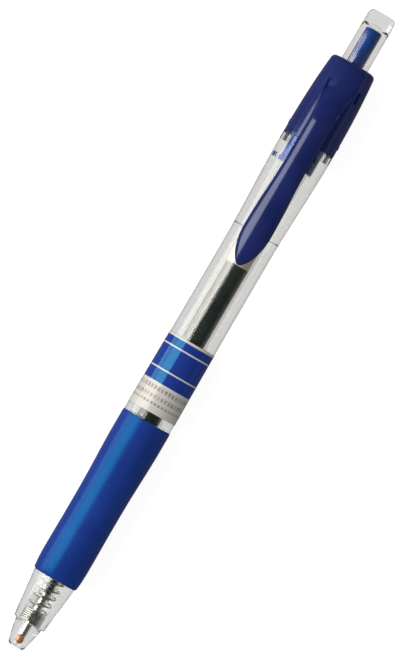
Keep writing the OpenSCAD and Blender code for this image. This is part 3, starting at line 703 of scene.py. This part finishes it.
def wax_bead():
    """Bead with a round front that closes on the cone of the point."""
    r = 0.8
    a = np.linspace(0, math.pi / 2, 14)
    dome = np.column_stack([bead_start + r * (1 - np.cos(a)), r * np.sin(a)])
    rear = rounded([(bead_end, r, 0.12), (bead_end, 0.76), (1.9, 0.43), (1.52, 0.37), (1.52, 0)])
    made = turned("wax_bead", np.concatenate([dome, rear]), sealing_wax, "refill",
                  sides=72, ring=False)
    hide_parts("tip_seal_bead")


def gel_fill():
    """Ink in the point, the adapter and the tube, with a domed rear face."""
    start, r = station("ink_column", 0), tube_bore - 0.05
    wide = adapter_end + 0.02
    outline = rounded([(start, 0), (start, 0.28), (shank_end + 0.05, 0.28), (shank_end + 0.05, 0.87),
                       (20.2, 0.87), (20.5, 0.97), (spring_end, 0.97), (wide, 1.4), (wide, r, 0.1),
                       (ink_end, r, 0.1), (ink_end, 0)])
    made = turned("gel_fill", outline, gel_ink, "refill", sides=96, ring=False)
    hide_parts("ink_column")


clear_nose()
clear_barrel()
rubber_grip()
printed_label()
blue_cap()
side_marks()
clip_arm()
push_button()
return_coil()
clear_tube()
tube_adapter()
metal_point()
wax_bead()
gel_fill()
smooth_copy("button_post", "plunger", post_plastic, "button")
smooth_copy("rail_sleeve", "cam_sleeve", sleeve_plastic, "body")
smooth_copy("click_rotor", "rotor_cam", rotor_plastic, "rotor")
smooth_copy("check_ball", "valve_ball", tip_metal, "refill")
smooth_copy("rolling_ball", "tip_ball", ball_carbide, "refill")
smooth_copy("grease_slug", "ink_follower", grease, "refill")
smooth_copy("vent_plug", "tail_plug", natural_plastic, "refill")


# ---------------------------------------------------------------- stage, light and camera
def any_of(tree, *rays):
    """1 where the ray is of any of the kinds named, else 0."""
    path = wire(tree, "ShaderNodeLightPath").outputs
    total = path[rays[0]]
    for ray in rays[1:]:
        total = math_node(tree, "MAXIMUM", total, path[ray])
    return total


def floor():
    """Pale floor that the pen lies on, white where a view or a reflection meets it, with a share
    of lit surface that keeps the shadow."""
    reach = 3.0
    z = cad_box[0].z
    mesh = bpy.data.meshes.new("floor")
    mesh.from_pydata([(-reach, -reach, z), (reach, -reach, z), (reach, reach, z), (-reach, reach, z)],
                     [], [(0, 1, 2, 3)])
    plane = bpy.data.objects.new("floor", mesh)
    bpy.context.scene.collection.objects.link(plane)
    made, tree, shader, out = new_material("pale_floor")
    pale = tone(tree, noise(tree, 0.002), (0.30, 0.30, 0.30), (0.32, 0.32, 0.32))
    dim = wire(tree, "ShaderNodeMix", {"Factor": any_of(tree, "Is Glossy Ray"), 6: pale},
               data_type="RGBA")
    dim.inputs[7].default_value = (0.1, 0.1, 0.1, 1)
    tree.links.new(dim.outputs[2], shader.inputs["Base Color"])
    shader.inputs["Roughness"].default_value = 0.9
    shader.inputs["Specular IOR Level"].default_value = 0.0
    strength = None
    for ray, share in [("Is Camera Ray", 0.87), ("Is Transmission Ray", 0.62), ("Is Glossy Ray", 0.06)]:
        seen = math_node(tree, "MULTIPLY", any_of(tree, ray), share)
        strength = seen if strength is None else math_node(tree, "MAXIMUM", strength, seen)
    glow = wire(tree, "ShaderNodeEmission", {"Strength": strength})
    both = wire(tree, "ShaderNodeAddShader", {0: shader.outputs[0], 1: glow.outputs[0]})
    tree.links.new(both.outputs[0], out.inputs["Surface"])
    mesh.materials.append(made)


def world_light(ambient=0.5, overhead=0.08):
    """Plain white surroundings for the camera; for reflections and for what is seen through clear
    plastic, white near the horizon and dim overhead; and a soft ambient for everything else."""
    world = bpy.data.worlds.new("studio")
    bpy.context.scene.world = world
    world.use_nodes = True
    tree = world.node_tree
    tree.nodes.clear()
    up = wire(tree, "ShaderNodeSeparateXYZ",
              {0: wire(tree, "ShaderNodeTexCoord").outputs["Generated"]}).outputs[2]
    backdrop = wire(tree, "ShaderNodeMapRange",
                    {"Value": up, "From Min": 0.0, "From Max": 0.35, "To Min": 1.0,
                     "To Max": overhead}, interpolation_type="SMOOTHSTEP").outputs[0]
    seen = any_of(tree, "Is Camera Ray")
    glossy = any_of(tree, "Is Glossy Ray")
    faint = math_node(tree, "MULTIPLY", backdrop, 0.45)
    dim = wire(tree, "ShaderNodeMix", {0: glossy, 2: ambient, 3: faint}).outputs[0]
    through = any_of(tree, "Is Transmission Ray")
    dim = wire(tree, "ShaderNodeMix", {0: through, 2: dim, 3: backdrop}).outputs[0]
    strength = wire(tree, "ShaderNodeMix", {0: seen, 2: dim, 3: 1.0}).outputs[0]
    back = wire(tree, "ShaderNodeBackground", {"Color": (1, 1, 1, 1), "Strength": strength})
    wire(tree, "ShaderNodeOutputWorld", {"Surface": back.outputs[0]})


def softbox(name, tilts, ends, strength, distance=0.45):
    """Rectangular lamp that faces the pen. Seen from the pen it spans two angles from overhead
    towards +Y, and along X it reaches between two places measured from the pen's middle."""
    tilt = math.radians(sum(tilts) / 2)
    width = (ends[1] - ends[0]) * MM
    height = 2 * distance * math.tan(math.radians(tilts[1] - tilts[0]) / 2)
    data = bpy.data.lights.new(name, "AREA")
    data.shape = "RECTANGLE"
    data.size, data.size_y, data.energy = width, height, strength * width * height
    data.color = (1.0, 0.97, 0.93)
    lamp = bpy.data.objects.new(name, data)
    bpy.context.scene.collection.objects.link(lamp)
    lamp.location = (middle.x + (ends[0] + ends[1]) / 2 * MM, distance * math.sin(tilt),
                     distance * math.cos(tilt))
    lamp.rotation_euler = (-tilt, 0, 0)
    lamp.visible_camera = False


def photo_camera():
    """Long lens straight above the pen, turned so that the pen climbs to the right."""
    lean = math.radians(59.75)
    field, distance, film = 130.3 * MM, 1.0, 36.0
    data = bpy.data.cameras.new("camera")
    data.sensor_width = film
    data.lens = film * distance / field
    data.clip_start, data.clip_end = 0.01, 20
    camera = bpy.data.objects.new("camera", data)
    bpy.context.scene.collection.objects.link(camera)
    camera.location = (middle.x + 0.69 * MM, -0.38 * MM, distance)
    camera.rotation_euler = (0, 0, -lean)
    bpy.context.scene.camera = camera


middle = (cad_box[0] + cad_box[1]) / 2
floor()
world_light()
softbox("key_light", tilts=(25, 66), ends=(-170, 104), strength=20)
softbox("side_light", tilts=(67, 98), ends=(-170, 48), strength=12)
photo_camera()
bpy.context.scene.view_settings.view_transform = "Standard"
